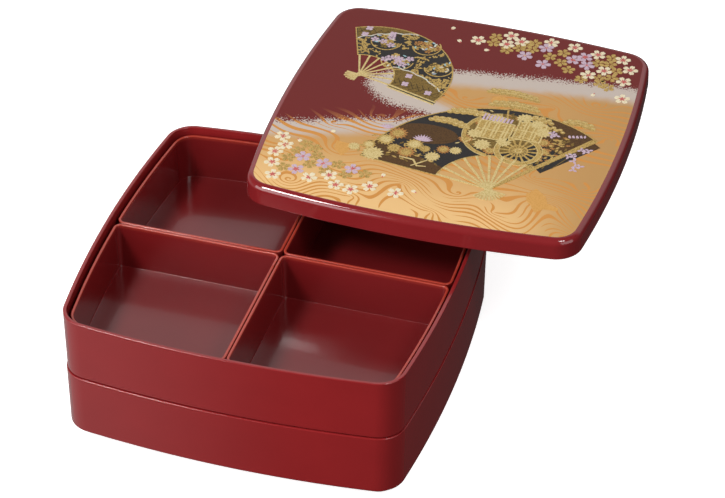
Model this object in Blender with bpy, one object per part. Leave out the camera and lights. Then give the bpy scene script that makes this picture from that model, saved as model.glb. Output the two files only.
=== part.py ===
"""Two-tier stacking lunch box: two barrel-sided tiers, four loose trays in each, and a flat-topped lid.

Metres, +Z up. The origin is the centre of the lower tier's flat underside. The box is shown open, with
the lid held beside and a little above the upper tier, parallel to it.
"""
import math

import bmesh
import bpy
from mathutils import Vector

MM = 0.001

# The box in plan: four bowed sides, each an arc, joined by round corners
HALF_WIDTH = 120.0 * MM          # centre to the middle of a side, at a rim
SIDE_RADIUS = 800.0 * MM
CORNER_RADIUS = 19.0 * MM

# Tiers
WALL_HEIGHT = 45.0 * MM          # shoulder that rests on the rim below, up to the tier's own rim
WALL = 2.4 * MM
FLOOR = 2.4 * MM
TIER_DRAFT = 0.6 * MM            # how far the wall leans in from rim to shoulder
INNER_DRAFT = 0.4 * MM
RIM_ROUND = 0.5 * MM
FOOT_DEPTH = 4.3 * MM            # stepped base that drops inside the rim below
FOOT_PLAY = 0.6 * MM             # between the step and the wall that it drops inside
FOOT_TAPER = 2.6 * MM

# Trays
TRAY_WALL = 1.8 * MM
TRAY_FLOOR = 1.8 * MM
TRAY_DEPTH = 33.5 * MM           # rim to the top of the raised floor
TRAY_DRAFT = 0.8 * MM
TRAY_CORNER = 5.0 * MM           # the three corners that don't follow the tier's corner
TRAY_RIM_ROUND = 0.4 * MM
TRAY_FILLET = 2.0 * MM
TRAY_SIDE_PLAY = 2.0 * MM        # tray to tier wall
TRAY_MIDDLE_PLAY = 0.6 * MM      # tray to tray
TRAY_BASE_PLAY = 0.5 * MM        # tray's tapered base to the slope where the tier's floor steps down
TRAY_HEADROOM = 0.6 * MM         # tray rim to the underside of what is stacked above

# Lid
LID_HEIGHT = 15.1 * MM
LID_PLATE = 2.4 * MM
LID_WALL = 2.4 * MM
LID_DRAFT = 0.3 * MM
LID_SHOULDER_WIDTH = 4.0 * MM
LID_SHOULDER_DROP = 4.4 * MM
LID_FILLET = 2.0 * MM
LID_ASIDE = Vector((78.0, 136.0, 14.0)) * MM    # from its closed place to where it is held

SEAT_GAP = 0.3 * MM              # between faces that rest on each other

# Smoothness of the curves
SIDE_STEPS = 10
CORNER_STEPS = 6
TRAY_SIDE_STEPS = 5
TRAY_CORNER_STEPS = 4
SHOULDER_STEPS = 4
FILLET_STEPS = 2

TIER_PITCH = WALL_HEIGHT + SEAT_GAP
TIER_HEIGHT = FOOT_DEPTH + WALL_HEIGHT
FOOT_INSET = WALL + FOOT_PLAY
FLOOR_INSET = FOOT_INSET + FOOT_TAPER + FLOOR
TRAY_INSET = WALL + INNER_DRAFT + TRAY_SIDE_PLAY
TRAY_BASE_TAPER = FLOOR_INSET + TRAY_BASE_PLAY - TRAY_INSET
TRAY_RIM_DROP = FOOT_DEPTH - SEAT_GAP + TRAY_HEADROOM

LACQUER = (0.30, 0.030, 0.030, 1.0)
TRAY_LACQUER = (0.22, 0.020, 0.022, 1.0)
LACQUER_ROUGHNESS = 0.18

QUARTERS = {
    "front_left": (-1, -1),
    "front_right": (1, -1),
    "back_left": (-1, 1),
    "back_right": (1, 1),
}


def clear_scene():
    for old in list(bpy.data.objects):
        bpy.data.objects.remove(old, do_unlink=True)


def lacquered(name, colour):
    material = bpy.data.materials.new(name)
    material.use_nodes = True
    shader = material.node_tree.nodes["Principled BSDF"]
    shader.inputs["Base Color"].default_value = colour
    shader.inputs["Metallic"].default_value = 0.0
    shader.inputs["Roughness"].default_value = LACQUER_ROUGHNESS
    return material


def arc(centre, radius, start, end, steps):
    """Points along an arc, both ends included; angles in radians."""
    cx, cy = centre
    turns = [start + (end - start) * i / steps for i in range(steps + 1)]
    return [(cx + radius * math.cos(turn), cy + radius * math.sin(turn)) for turn in turns]


def quarter_turned(points, quarter):
    cosine, sine = ((1, 0), (0, 1), (-1, 0), (0, -1))[quarter]
    return [(x * cosine - y * sine, x * sine + y * cosine) for x, y in points]


def corner_centre():
    """Distance along both axes to the centre of a box corner, tangent to the two sides that it joins."""
    arc_centre = SIDE_RADIUS - HALF_WIDTH
    reach = SIDE_RADIUS - CORNER_RADIUS
    return (-arc_centre + math.sqrt(2 * reach ** 2 - arc_centre ** 2)) / 2


def barrel_outline(inset):
    """The box's outline, moved inwards by inset, anticlockwise."""
    arc_centre = SIDE_RADIUS - HALF_WIDTH
    corner = corner_centre()
    swing = math.atan2(corner, corner + arc_centre)
    side = arc((-arc_centre, 0), SIDE_RADIUS - inset, -swing, swing, SIDE_STEPS)
    bend = arc((corner, corner), CORNER_RADIUS - inset, swing, math.pi / 2 - swing, CORNER_STEPS)
    quarter = side[:-1] + bend[:-1]
    return [point for turn in range(4) for point in quarter_turned(quarter, turn)]


def tray_outline(inset, quarter):
    """One tray's outline, moved inwards by inset: two straight sides, two sides along the tier's wall."""
    arc_centre = SIDE_RADIUS - HALF_WIDTH
    side_radius = SIDE_RADIUS - TRAY_INSET - inset
    box_corner = corner_centre()
    swing = math.atan2(box_corner, box_corner + arc_centre)
    outer_radius = CORNER_RADIUS - TRAY_INSET - inset
    bend = max(TRAY_CORNER - inset, TRAY_CORNER / 5)
    near = TRAY_MIDDLE_PLAY / 2 + inset + bend
    far = -arc_centre + math.sqrt((side_radius - bend) ** 2 - near ** 2)
    lean = math.atan2(near, far + arc_centre)
    right = math.pi / 2
    outline = arc((near, near), bend, 2 * right, 3 * right, TRAY_CORNER_STEPS)
    outline += arc((far, near), bend, -right, lean, TRAY_CORNER_STEPS)
    outline += arc((-arc_centre, 0), side_radius, lean, swing, TRAY_SIDE_STEPS)[1:-1]
    outline += arc((box_corner, box_corner), outer_radius, swing, right - swing, CORNER_STEPS)
    outline += arc((0, -arc_centre), side_radius, right - swing, right - lean, TRAY_SIDE_STEPS)[1:-1]
    outline += arc((near, far), bend, right - lean, 2 * right, TRAY_CORNER_STEPS)
    flip_x, flip_y = quarter
    return [(x * flip_x, y * flip_y) for x, y in outline]


def rounded_edge(inset, height, size, steps, rising):
    """(inset, height) pairs over a quarter-round rim edge whose top outer corner is (inset, height)."""
    turns = [math.pi / 2 * i / steps for i in range(steps + 1)]
    pairs = [(inset + size * (1 - math.cos(turn)), height - size * (1 - math.sin(turn))) for turn in turns]
    if rising:
        return pairs
    return [(2 * inset - x, z) for x, z in reversed(pairs)]


def fillet(inset, height, size, steps):
    """(inset, height) pairs from a wall at inset down into a floor at height."""
    turns = [math.pi / 2 * i / steps for i in range(steps + 1)]
    return [(inset + size * (1 - math.cos(turn)), height + size * (1 - math.sin(turn))) for turn in turns]


def build_solid(name, sections, material):
    """Extrude a capped face from section to section, so that they enclose one solid."""
    builder = bmesh.new()
    first = cap = builder.faces.new([builder.verts.new(point) for point in sections[0]])
    for section in sections[1:]:
        passed = cap
        grown = bmesh.ops.extrude_face_region(builder, geom=[passed])["geom"]
        cap = next(item for item in grown if isinstance(item, bmesh.types.BMFace))
        for vertex, point in zip(cap.verts, section):
            vertex.co = point
        if passed is not first:
            builder.faces.remove(passed)
    bmesh.ops.recalc_face_normals(builder, faces=builder.faces[:])
    mesh = bpy.data.meshes.new(name)
    builder.to_mesh(mesh)
    builder.free()
    mesh.materials.append(material)
    mesh.shade_smooth()
    mesh.set_sharp_from_angle(angle=math.radians(30))
    solid = bpy.data.objects.new(name, mesh)
    bpy.context.collection.objects.link(solid)
    return solid


def sections_from(profile, outline):
    """Turn (inset, height) pairs into closed cross-sections."""
    return [[(x, y, height) for x, y in outline(inset)] for inset, height in profile]


def tier_profile():
    """From the flat underside, out and up over the rim, and down inside to the floor."""
    profile = [(FOOT_INSET + FOOT_TAPER, 0), (FOOT_INSET, FOOT_DEPTH), (TIER_DRAFT, FOOT_DEPTH)]
    profile += rounded_edge(0, TIER_HEIGHT, RIM_ROUND, FILLET_STEPS, rising=True)
    profile += rounded_edge(WALL, TIER_HEIGHT, RIM_ROUND, FILLET_STEPS, rising=False)
    profile += [(WALL + INNER_DRAFT, FOOT_DEPTH + FLOOR), (FLOOR_INSET, FLOOR)]
    return profile


def tray_profile():
    """From the underside of the raised floor, down inside the tapered base, out, up and in again."""
    height = TIER_HEIGHT - TRAY_RIM_DROP - FLOOR - SEAT_GAP
    floor_top = height - TRAY_DEPTH
    profile = [(TRAY_DRAFT + TRAY_WALL, floor_top - TRAY_FLOOR), (TRAY_BASE_TAPER + TRAY_WALL, 0)]
    profile += [(TRAY_BASE_TAPER, 0), (TRAY_DRAFT, FOOT_DEPTH)]
    profile += rounded_edge(0, height, TRAY_RIM_ROUND, 1, rising=True)
    profile += rounded_edge(TRAY_WALL, height, TRAY_RIM_ROUND, 1, rising=False)
    profile += fillet(TRAY_WALL + TRAY_DRAFT, floor_top, TRAY_FILLET, FILLET_STEPS)
    return profile


def lid_profile():
    """From the ceiling inside, down the skirt, out, and up over the round shoulder to the flat top."""
    ceiling = LID_HEIGHT - LID_PLATE
    profile = fillet(LID_WALL + LID_DRAFT, 0, LID_FILLET, FILLET_STEPS)
    profile = [(inset, ceiling - height) for inset, height in reversed(profile)]
    profile += [(LID_WALL, 0), (0, 0)]
    turns = [math.pi / 2 * i / SHOULDER_STEPS for i in range(SHOULDER_STEPS + 1)]
    profile += [
        (
            LID_DRAFT + (LID_SHOULDER_WIDTH - LID_DRAFT) * (1 - math.cos(turn)),
            LID_HEIGHT - LID_SHOULDER_DROP * (1 - math.sin(turn)),
        )
        for turn in turns
    ]
    return profile


def make_tier(name, base_height, material):
    tier = build_solid(name, sections_from(tier_profile(), barrel_outline), material)
    tier.location.z = base_height
    return tier


def make_trays(prefix, tier, material):
    for place, quarter in QUARTERS.items():
        sections = sections_from(tray_profile(), lambda inset: tray_outline(inset, quarter))
        tray = build_solid(f"{prefix}_tray_{place}", sections, material)
        tray.parent = tier
        tray.location.z = FLOOR + SEAT_GAP


def make_lid(rim_height, material):
    lid = build_solid("lid", sections_from(lid_profile(), barrel_outline), material)
    lid.location = Vector((0, 0, rim_height + SEAT_GAP)) + LID_ASIDE
    return lid


def main():
    clear_scene()
    lacquer = lacquered("red_lacquer", LACQUER)
    tray_lacquer = lacquered("tray_lacquer", TRAY_LACQUER)
    lower_tier = make_tier("lower_tier", 0, lacquer)
    upper_tier = make_tier("upper_tier", TIER_PITCH, lacquer)
    make_trays("lower", lower_tier, tray_lacquer)
    make_trays("upper", upper_tier, tray_lacquer)
    make_lid(TIER_PITCH + TIER_HEIGHT, lacquer)


main()
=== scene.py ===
import math

import bpy
import numpy as np
from mathutils import Matrix, Vector


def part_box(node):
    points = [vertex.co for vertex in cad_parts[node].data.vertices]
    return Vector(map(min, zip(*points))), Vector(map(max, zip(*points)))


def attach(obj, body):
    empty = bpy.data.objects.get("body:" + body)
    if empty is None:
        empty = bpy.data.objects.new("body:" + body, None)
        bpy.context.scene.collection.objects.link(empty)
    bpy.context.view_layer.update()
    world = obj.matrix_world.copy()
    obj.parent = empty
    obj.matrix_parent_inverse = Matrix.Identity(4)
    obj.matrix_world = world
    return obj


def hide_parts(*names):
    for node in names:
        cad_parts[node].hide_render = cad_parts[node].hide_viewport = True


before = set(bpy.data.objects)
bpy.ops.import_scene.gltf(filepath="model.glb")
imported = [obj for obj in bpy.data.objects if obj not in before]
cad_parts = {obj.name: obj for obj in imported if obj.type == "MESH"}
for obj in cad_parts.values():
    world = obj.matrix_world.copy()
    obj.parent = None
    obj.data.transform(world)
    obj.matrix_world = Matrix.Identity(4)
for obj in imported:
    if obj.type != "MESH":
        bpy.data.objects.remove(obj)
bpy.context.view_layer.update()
mm = 0.001
print("frame loaded")


def hexToLinear(code):
    # sRGB hex to linear: v / 12.92 below 0.04045, ((v + 0.055) / 1.055) ^ 2.4 above
    parts = np.array([int(code[i:i + 2], 16) for i in (1, 3, 5)]) / 255
    line = np.where(parts <= 0.04045, parts / 12.92, ((parts + 0.055) / 1.055) ** 2.4)
    return (*[float(v) for v in line], 1.0)


def feed(tree, node, **inputs):
    # inputs as values or as the sockets that feed them: i3 is the input at place 3, Base_Color is Base Color
    for key, value in inputs.items():
        name = int(key[1:]) if key[0] == "i" and key[1:].isdigit() else key.replace("_", " ")
        if isinstance(value, bpy.types.NodeSocket):
            tree.links.new(value, node.inputs[name])
        else:
            node.inputs[name].default_value = value


def addNode(tree, kind, settings=None, **inputs):
    node = tree.nodes.new(kind)
    for key, value in (settings or {}).items():
        setattr(node, key, value)
    feed(tree, node, **inputs)
    return node


def newMaterial(name):
    material = bpy.data.materials.new(name)
    material.use_nodes = True
    tree = material.node_tree
    return material, tree, tree.nodes["Principled BSDF"]


colourMix = {"data_type": "RGBA"}
softRange = {"interpolation_type": "SMOOTHSTEP"}


def smoothStep(low, high, x):
    t = np.clip((x - low) / (high - low), 0, 1)
    return t * t * (3 - 2 * t)


def meshObject(name, points, faces, sharpAngle=35.0):
    mesh = bpy.data.meshes.new(name)
    mesh.from_pydata(points.reshape(-1, 3).tolist(), [], faces)
    mesh.shade_smooth()
    mesh.set_sharp_from_angle(angle=math.radians(sharpAngle))
    piece = bpy.data.objects.new(name, mesh)
    bpy.context.scene.collection.objects.link(piece)
    return piece


def gridQuads(index):
    # one quad for each cell of a grid of point numbers
    corners = [index[:-1, :-1], index[1:, :-1], index[1:, 1:], index[:-1, 1:]]
    return np.stack(corners, axis=-1).reshape(-1, 4).tolist()


def shrinkTo(ring, pole, steps):
    # rings from an edge towards a pole: ring + t * (pole - ring), with t rising evenly and short of 1
    t = np.linspace(0, 1, steps + 1)[1:-1][:, None, None]
    return ring[None] + t * (np.asarray(pole, float) - ring[None])


def closedSweep(name, rings, startPole, endPole):
    # rings is a grid (ring, place round the ring, xyz): quads join each ring to the next, a flat cap of
    # shrinking rings covers each end, and a fan of triangles closes it on its pole
    rings = np.concatenate([shrinkTo(rings[0], startPole, 8)[::-1], rings, shrinkTo(rings[-1], endPole, 8)])
    count, around = rings.shape[:2]
    index = np.arange(count * around).reshape(count, around)
    ahead = np.roll(index, -1, axis=1)
    quads = np.stack([index[:-1], ahead[:-1], ahead[1:], index[1:]], axis=-1).reshape(-1, 4)
    first, last = count * around, count * around + 1
    startFan = np.stack([ahead[0], index[0], np.full(around, first)], axis=-1)
    endFan = np.stack([index[-1], ahead[-1], np.full(around, last)], axis=-1)
    points = np.vstack([rings.reshape(-1, 3), startPole, endPole])
    return meshObject(name, points, quads.tolist() + startFan.tolist() + endFan.tolist())


boxPlan = {
    "halfWidth": 120.0,      # mm, centre to the middle of a side
    "sideRadius": 800.0,
    "cornerRadius": 19.0,
    "pointsPerSide": 60,
    "pointsPerCorner": 22,
}


def cornerCentre():
    back = boxPlan["sideRadius"] - boxPlan["halfWidth"]
    reach = boxPlan["sideRadius"] - boxPlan["cornerRadius"]
    return (-back + math.sqrt(2 * reach ** 2 - back ** 2)) / 2


def barrelPlan():
    # four bowed sides and four corners, each an arc: every point keeps its arc's centre, radius and
    # direction, so that an outline further in is the same arcs with shorter radii
    back = boxPlan["sideRadius"] - boxPlan["halfWidth"]
    corner = cornerCentre()
    swing = math.atan2(corner, corner + back)
    side = np.linspace(-swing, swing, boxPlan["pointsPerSide"], endpoint=False)
    bend = np.linspace(swing, math.pi / 2 - swing, boxPlan["pointsPerCorner"], endpoint=False)
    centre = np.vstack([np.tile([-back, 0.0], (len(side), 1)), np.tile([corner, corner], (len(bend), 1))])
    radius = np.repeat([boxPlan["sideRadius"], boxPlan["cornerRadius"]], [len(side), len(bend)])
    angle = np.concatenate([side, bend])
    quarters = []
    for turn in range(4):
        c, s = round(math.cos(turn * math.pi / 2)), round(math.sin(turn * math.pi / 2))
        quarter = centre @ np.array([[c, s], [-s, c]])
        quarters.append(np.column_stack([quarter, radius, angle + turn * math.pi / 2]))
    return np.vstack(quarters)


leastRadius = 0.3    # mm that a corner's arc keeps however far in an outline goes


def ringsAlong(plan, profile):
    # point = centre + (radius - inset) * direction, one ring for each (inset, height) of the profile
    inset = profile[:, 0][:, None]
    reach = np.maximum(plan[None, :, 2] - inset, leastRadius)
    x = plan[None, :, 0] + reach * np.cos(plan[None, :, 3])
    y = plan[None, :, 1] + reach * np.sin(plan[None, :, 3])
    z = np.broadcast_to(profile[:, 1][:, None], x.shape)
    return np.stack([x, y, z], axis=-1)


def quarterRound(inset, height, size, fromDeg, toDeg, steps=8):
    # centre (inset, height), the angle measured from straight out (-inset) towards up
    turn = np.radians(np.linspace(fromDeg, toDeg, steps + 1))
    return np.column_stack([inset - size * np.cos(turn), height + size * np.sin(turn)])


def roundRim(wall, height, size):
    # over a wall's top from its outside to its inside
    outside = quarterRound(size, height - size, size, 0, 88)
    return np.vstack([outside, quarterRound(wall - size, height - size, size, 92, 180)])


def spread(start, end, steps):
    # even steps along a straight line, without its start
    t = np.linspace(0, 1, steps + 1)[1:, None]
    return np.array(start) + t * (np.array(end) - np.array(start))


boxBarrel = barrelPlan()

tierShape = {               # mm
    "wall": 2.4, "floor": 2.4, "wallDraft": 0.6, "innerDraft": 0.4,
    "footDepth": 4.3, "footInset": 3.0, "footTaper": 2.6, "footEdge": 0.4,
    "shoulderRound": 0.3, "rimRound": 0.5,
    "shadowGap": 0.8,       # dark joint left between one tier's shoulder and the rim under it
}


def tierProfile(height):
    # from the flat underside out over the stepped base, up the wall, over the round rim and down inside
    s = tierShape
    base = s["footInset"] + s["footTaper"]
    inner = s["wall"] + s["innerDraft"]
    floorInset = base + s["floor"]
    floorStart = s["footDepth"] + s["floor"]
    step = s["footDepth"] + s["shadowGap"]
    shoulder, rim = s["shoulderRound"], s["rimRound"]
    rimFoot = height - rim - 0.1
    parts = [
        [(base + 3.0, 0)],
        quarterRound(base + 0.5, s["footEdge"], s["footEdge"], -90, -20, 3),
        spread((base - 0.1, 0.6), (s["footInset"], step - 0.2), 3),
        [(s["footInset"] - 0.1, step), (s["wallDraft"] + shoulder + 0.1, step)],
        quarterRound(s["wallDraft"] + shoulder, step + shoulder, shoulder, -85, 0, 6),
        spread((s["wallDraft"], step + shoulder + 0.1), (0, rimFoot), 24),
        roundRim(s["wall"], height, rim),
        spread((s["wall"], rimFoot), (inner, floorStart), 16),
        spread((inner, floorStart), (floorInset, s["floor"]), 4),
        spread((floorInset, s["floor"]), (floorInset + 4, s["floor"]), 2),
    ]
    return np.vstack(parts)


def makeTier(node):
    low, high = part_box(node)
    height = (high.z - low.z) / mm
    rings = ringsAlong(boxBarrel, tierProfile(height))
    rings[..., 2] += low.z / mm
    poles = np.array([[0, 0, low.z], [0, 0, low.z + tierShape["floor"] * mm]])
    return closedSweep(node + "_shell", rings * mm, poles[:1], poles[1:])


trayShape = {               # mm
    "wall": 1.8, "floor": 1.8, "depth": 33.5, "draft": 0.8, "corner": 5.0,
    "rimRound": 0.55, "fillet": 0.5, "sidePlay": 4.8, "middlePlay": 0.6,
    "baseTaper": 3.7, "baseInner": 4.75, "baseHeight": 4.3,
    "middle": 58.0,         # of a tray's floor, from the middle of the box along each side
}


def trayPlan(flipX, flipY):
    # a quarter of the box: three tight corners, the box's own corner, and two sides along its wall
    s = trayShape
    back = boxPlan["sideRadius"] - boxPlan["halfWidth"]
    sideRadius = boxPlan["sideRadius"] - s["sidePlay"]
    corner = cornerCentre()
    swing = math.atan2(corner, corner + back)
    near = s["middlePlay"] / 2 + s["corner"]
    far = -back + math.sqrt((sideRadius - s["corner"]) ** 2 - near ** 2)
    lean = math.atan2(near, far + back)
    right = math.pi / 2
    arcs = [
        (near, near, s["corner"], 2 * right, 3 * right, 12),
        (far, near, s["corner"], -right, lean, 12),
        (-back, 0, sideRadius, lean, swing, 26),
        (corner, corner, boxPlan["cornerRadius"] - s["sidePlay"], swing, right - swing, 20),
        (0, -back, sideRadius, right - swing, right - lean, 26),
        (near, far, s["corner"], right - lean, 2 * right, 12),
    ]
    rows = []
    for x, y, radius, start, end, steps in arcs:
        angle = np.linspace(start, end, steps + 1)
        if radius == sideRadius:
            angle = angle[:-1]      # the arc after it starts on the same point
        rows.append(np.column_stack([np.full((len(angle), 3), (x, y, radius)), angle]))
    plan = np.vstack(rows)
    # the mirrored quarters run backwards so that their faces still point out
    plan[:, 0] *= flipX
    plan[:, 1] *= flipY
    plan[:, 3] = np.arctan2(np.sin(plan[:, 3]) * flipY, np.cos(plan[:, 3]) * flipX)
    return plan if flipX * flipY > 0 else plan[::-1]


def trayProfile(height):
    # from under the raised floor, down inside the tapered base, up the wall, over the rim, down to the floor
    s = trayShape
    floorTop = height - s["depth"]
    underside = floorTop - s["floor"]
    inner = s["wall"] + s["draft"]
    rim, fillet = s["rimRound"], s["fillet"]
    rimFoot = height - rim - 0.1
    parts = [
        [(inner + 1.2, underside), (inner + 0.2, underside)],
        spread((inner + 0.1, underside - 0.3), (s["baseInner"], 0.3), 4),
        [(s["baseInner"] - 0.2, 0), (s["baseTaper"] + 0.3, 0), (s["baseTaper"] + 0.1, 0.2)],
        spread((s["baseTaper"], 0.5), (s["draft"], s["baseHeight"]), 4),
        spread((s["draft"], s["baseHeight"]), (0, rimFoot), 14),
        roundRim(s["wall"], height, rim),
        spread((s["wall"], rimFoot), (inner, floorTop + fillet + 0.1), 14),
        quarterRound(inner + fillet, floorTop + fillet, fillet, 0, -89, 9),
    ]
    return np.vstack(parts)


def makeTray(node, flipX, flipY):
    low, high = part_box(node)
    height = (high.z - low.z) / mm
    rings = ringsAlong(trayPlan(flipX, flipY), trayProfile(height))
    rings[..., 2] += low.z / mm
    floorTop = height - trayShape["depth"]
    middle = np.array([trayShape["middle"] * flipX, trayShape["middle"] * flipY, low.z / mm + floorTop])
    under = middle - (0, 0, trayShape["floor"])
    piece = closedSweep(node + "_shell", rings * mm, under[None] * mm, middle[None] * mm)
    # how much of the painted highlight along the rim a point takes: 1 on the rim, 0 from about a millimetre
    # under it
    level = np.array([vertex.co.z for vertex in piece.data.vertices])
    edge = piece.data.attributes.new("rimPaintedHighlight", "FLOAT", "POINT")
    edge.data.foreach_set("value", smoothStep(high.z - 0.9 * mm, high.z - 0.2 * mm, level).astype(np.float32))
    return piece


lidShape = {                # mm
    "wall": 2.4, "plate": 2.4, "draft": 0.3, "shoulderWidth": 4.6, "shoulderDrop": 4.8,
    "edgeRound": 0.6, "fillet": 2.0,
    "topStep": 0.25,        # the top stands this far under the box's top, to leave room for the print
}


def lidProfile(height):
    # from the ceiling down inside the skirt, round its edge, up outside and over the round shoulder
    s = lidShape
    ceiling = height - s["plate"]
    inner = s["wall"] + s["draft"]
    edge, fillet = s["edgeRound"], s["fillet"]
    turn = np.radians(np.linspace(0, 90, 15))
    top = height - s["topStep"]
    shoulder = np.column_stack([
        s["draft"] + (s["shoulderWidth"] - s["draft"]) * (1 - np.cos(turn)),
        top - s["shoulderDrop"] + s["shoulderDrop"] * np.sin(turn),
    ])
    parts = [
        [(inner + fillet + 4, ceiling), (inner + fillet + 0.3, ceiling)],
        quarterRound(inner + fillet, ceiling - fillet, fillet, 88, 0, 7),
        spread((inner, ceiling - fillet - 0.1), (s["wall"], edge), 6),
        quarterRound(s["wall"] - edge, edge, edge, 180, 268, 5),
        quarterRound(edge, edge, edge, -88, 0, 6),
        spread((0, edge + 0.1), (s["draft"], top - s["shoulderDrop"] - 0.1), 8),
        shoulder,
        spread((s["shoulderWidth"], top), (s["shoulderWidth"] + 6, top), 3),
    ]
    return np.vstack(parts)


def makeLid():
    low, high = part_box("lid")
    centre = np.array([(low.x + high.x) / 2, (low.y + high.y) / 2, low.z]) / mm
    height = (high.z - low.z) / mm
    rings = ringsAlong(boxBarrel, lidProfile(height)) + centre
    poles = np.array([[0, 0, height - lidShape["plate"]], [0, 0, height - lidShape["topStep"]]]) + centre
    return closedSweep("lid_shell", rings * mm, poles[:1] * mm, poles[1:] * mm)


lacquerLook = {
    "tier": {"colour": "#922224", "deep": "#861e20", "edge": "#922224", "roughness": 0.18},
    # the trays' edge colour is a painted highlight along their rims; the tiers and the lid keep their own red
    # there
    # the trays' red is set darker than the tiers': partly the trays' own colour, partly painted shade for
    # their insides under the lid
    "tray": {"colour": "#781a1c", "deep": "#6d1719", "edge": "#ac3c2d", "roughness": 0.2},
    "lid": {"colour": "#842124", "deep": "#7a1e21", "edge": "#842124", "roughness": 0.1},
    "patchMm": 40,          # size of the soft patches where the pigment lies deeper
    "peelMm": 2.2,          # spacing of the sprayed coat's faint ripple
    "ior": 1.5, "coatWeight": 0.35, "coatRoughness": 0.06,
}


def sprayedLacquer(name, look):
    # urethane lacquer sprayed over moulded ABS: a clear gloss over an even red-brown, with a very faint
    # orange-peel ripple, pigment that settles a little deeper in broad soft patches, and a painted highlight:
    # a lighter, more orange red laid along a rim, where the rounded rim would catch the light
    material, tree, shader = newMaterial(name)
    shared = lacquerLook
    place = addNode(tree, "ShaderNodeTexCoord").outputs["Object"]
    patches = addNode(tree, "ShaderNodeTexNoise", Vector=place,
                      Scale=1 / (shared["patchMm"] * mm), Detail=2.0)
    tint = addNode(tree, "ShaderNodeMix", colourMix, i0=patches.outputs["Fac"],
                   i6=hexToLinear(look["colour"]), i7=hexToLinear(look["deep"]))
    # painted highlight: the look's edge red is laid over the rim, where the rim attribute rises to 1
    rim = addNode(tree, "ShaderNodeAttribute", {"attribute_name": "rimPaintedHighlight"}).outputs["Fac"]
    withRimHighlight = addNode(tree, "ShaderNodeMix", colourMix, i0=rim,
                    i6=tint.outputs[2], i7=hexToLinear(look["edge"]))
    ripple = addNode(tree, "ShaderNodeTexNoise", Vector=place, Scale=1 / (shared["peelMm"] * mm), Detail=1.0)
    bump = addNode(tree, "ShaderNodeBump", Strength=0.04, Distance=0.02 * mm, Height=ripple.outputs["Fac"])
    feed(tree, shader, Base_Color=withRimHighlight.outputs[2], Normal=bump.outputs["Normal"],
         Roughness=look["roughness"], IOR=shared["ior"], Coat_IOR=shared["ior"],
         Coat_Weight=shared["coatWeight"], Coat_Roughness=shared["coatRoughness"])
    return material


tierLacquer = sprayedLacquer("sprayedLacquerTier", lacquerLook["tier"])
trayLacquer = sprayedLacquer("sprayedLacquerTray", lacquerLook["tray"])
lidLacquer = sprayedLacquer("sprayedLacquerLid", lacquerLook["lid"])


def finishShell(piece, node, material):
    piece.data.materials.append(material)
    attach(piece, node)
    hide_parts(node)


for node in ("lower_tier", "upper_tier"):
    finishShell(makeTier(node), node, tierLacquer)

quarters = {"front_left": (-1, -1), "front_right": (1, -1), "back_left": (-1, 1), "back_right": (1, 1)}
for tier in ("lower", "upper"):
    for place, (flipX, flipY) in quarters.items():
        node = f"{tier}_tray_{place}"
        finishShell(makeTray(node, flipX, flipY), node, trayLacquer)

finishShell(makeLid(), "lid", lidLacquer)
print("tiers, trays and lid made")

# the print on the lid: its places are in mm from the lid's middle, x to the right and y to the back
printPlan = {
    "inset": 4.8, "sheet": 0.03, "cells": 260,      # cells along one side of a quarter
    "waterSpacing": 6.4, "curlLength": 1.45,
}

# edge of the maroon ground: over the lid's right and back, then along the mist from left to right
maroonEdge = [
    (150, 70), (150, 150), (-150, 150), (-150, -42), (-113, -38), (-90, -32), (-60, -20), (-34, -13),
    (-16, -3), (-30, 1), (-45, 3), (-58, 10), (-66, 20), (-68, 30), (-52, 43), (-14, 53), (0, 56), (20, 58),
    (60, 64), (100, 68),
]

# centre, strength, reach and winding of each curl in the water
waterCurls = [
    (90, 42, 4.4, 9, 1), (62, 30, -3.3, 8, -1), (2, 24, 3.3, 9, 1), (104, -54, 4.1, 10, 1),
    (88, -78, -4.6, 11, -1), (54, -95, 2.8, 8, 1), (-62, -56, 4.1, 9, 1), (-40, -107, -4.7, 12, -1),
    (-84, -100, 4.4, 11, 1), (14, -108, -4.4, 10, 1), (-46, -14, 3.3, 10, 1), (108, 6, -3.8, 9, -1),
    (26, -82, 3.8, 10, -1), (-98, -74, -3.3, 9, -1), (70, -50, 3.6, 8, 1), (104, -106, -3.6, 9, -1),
    (-22, 10, -2.8, 7, -1), (-12, -84, -3.6, 10, 1), (78, 8, 3.1, 8, -1), (-75, -30, 2.8, 8, 1),
]


def edgeDistance(x, y, outline):
    # distance to the nearest side of a polygon, more than 0 inside it and less than 0 outside
    start = np.array(outline, float)
    end = np.roll(start, -1, axis=0)
    nearest = np.full(x.shape, 1e9)
    inside = np.zeros(x.shape, bool)
    for (ax, ay), (bx, by) in zip(start, end):
        runX, runY = bx - ax, by - ay
        along = np.clip(((x - ax) * runX + (y - ay) * runY) / (runX ** 2 + runY ** 2), 0, 1)
        nearest = np.minimum(nearest, np.hypot(x - ax - along * runX, y - ay - along * runY))
        if runY:
            inside ^= ((ay > y) != (by > y)) & (x < runX * (y - ay) / runY + ax)
    return np.where(inside, nearest, -nearest)


def waterFlow(x, y):
    # a wavy, gently slanted current, height over line spacing, with a pointed hill or hollow at each curl, as
    # strength * exp(-distance / reach); the winding adds one line that spirals out of each curl: whole turns
    # of the angle round its middle, and calm falls from 1 to 0 inside each curl
    sway = 8 * np.sin(x / 8.5 + y / 15) * smoothStep(-50, -92, y)
    sway = sway + 3 * np.sin(x / 15 + y / 13) + 2 * np.sin(x / 7.5 - y / 19)
    current = (y + sway + 0.2 * x) / printPlan["waterSpacing"]
    winding, calm = np.zeros_like(x), np.ones_like(x)
    for cx, cy, strength, reach, turns in waterCurls:
        dx, dy = (x - cx) / printPlan["curlLength"], y - cy
        current = current + strength * np.exp(-np.hypot(dx, dy) / reach)
        winding = winding + turns * np.arctan2(dy, dx) / (2 * math.pi)
        calm = calm * (1 - np.exp(-(dx ** 2 + dy ** 2) / (0.55 * reach ** 2)))
    return current, winding, calm


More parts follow.
